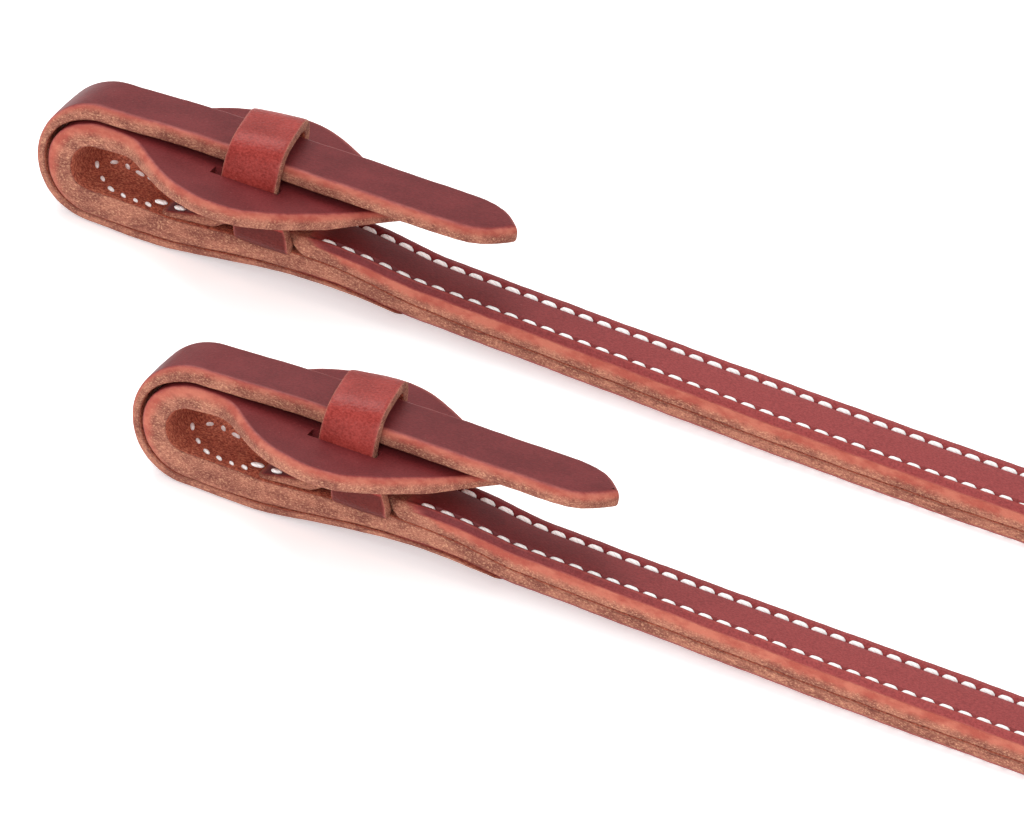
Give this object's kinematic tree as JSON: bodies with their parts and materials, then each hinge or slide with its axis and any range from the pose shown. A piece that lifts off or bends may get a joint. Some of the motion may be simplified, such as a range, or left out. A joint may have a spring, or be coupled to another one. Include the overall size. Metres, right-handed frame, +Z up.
{
  "type": "leather reins",
  "caption": "Doubled and stitched leather split reins with water loop bit ends, keepers and tucked billets; the spare length is coiled and tied.",
  "frame": {"origin": "centre of the footprint of the two bit ends, on the surface they lie on", "axes": "+X along both reins from the loops to the coil, +Y from the near rein to the far one, +Z up"},
  "size_m": [0.479, 0.176, 0.0356],
  "materials": {
    "strap_leather": "satin burgundy grain with bevelled, burnished tan-brown cut edges",
    "keeper_leather": "brighter red pebbled grain, satin",
    "thread": "thick white waxed thread",
    "tie_leather": "thin dark lace, satin"
  },
  "bodies": {
    "near_rein": {"near_water_strap": "strap_leather", "near_bottom_ply": "strap_leather", "near_top_ply": "strap_leather", "near_keeper": "keeper_leather", "near_stitching": "thread", "near_bottom_strap": "strap_leather", "near_top_strap": "strap_leather", "near_coil": "strap_leather", "near_ties": "tie_leather"},
    "near_leaf": {"near_leaf": "strap_leather"},
    "near_billet": {"near_billet": "strap_leather"},
    "near_billet_tip": {"near_billet_tip": "strap_leather"},
    "far_rein": {"far_water_strap": "strap_leather", "far_bottom_ply": "strap_leather", "far_top_ply": "strap_leather", "far_keeper": "keeper_leather", "far_stitching": "thread", "far_bottom_strap": "strap_leather", "far_top_strap": "strap_leather", "far_coil": "strap_leather", "far_ties": "tie_leather"},
    "far_leaf": {"far_leaf": "strap_leather"},
    "far_billet": {"far_billet": "strap_leather"},
    "far_billet_tip": {"far_billet_tip": "strap_leather"}
  },
  "joints": [
    {"name": "near_leaf_press", "type": "hinge", "parent": "near_rein", "child": "near_leaf", "pos_m": [-0.0102, -0.0435, 0.0174], "axis": [0, 1, 0], "range_deg": [0, 4.5]},
    {"name": "near_billet_slide", "type": "slide", "parent": "near_rein", "child": "near_billet", "axis": [-1, 0, 0], "range_m": [0, 0.008]},
    {"name": "near_tip_lift", "type": "hinge", "parent": "near_billet", "child": "near_billet_tip", "pos_m": [0.0356, -0.0435, 0.0253], "axis": [0, -1, 0], "range_deg": [0, 20]},
    {"name": "far_rein_lift", "type": "slide", "parent": "near_rein", "child": "far_rein", "axis": [0, 0, 1], "range_m": [0, 0.12]},
    {"name": "far_leaf_press", "type": "hinge", "parent": "far_rein", "child": "far_leaf", "pos_m": [-0.0682, 0.0435, 0.0174], "axis": [0, 1, 0], "range_deg": [0, 4.5]},
    {"name": "far_billet_slide", "type": "slide", "parent": "far_rein", "child": "far_billet", "axis": [-1, 0, 0], "range_m": [0, 0.008]},
    {"name": "far_tip_lift", "type": "hinge", "parent": "far_billet", "child": "far_billet_tip", "pos_m": [-0.0224, 0.0435, 0.0253], "axis": [0, -1, 0], "range_deg": [0, 20]}
  ]
}
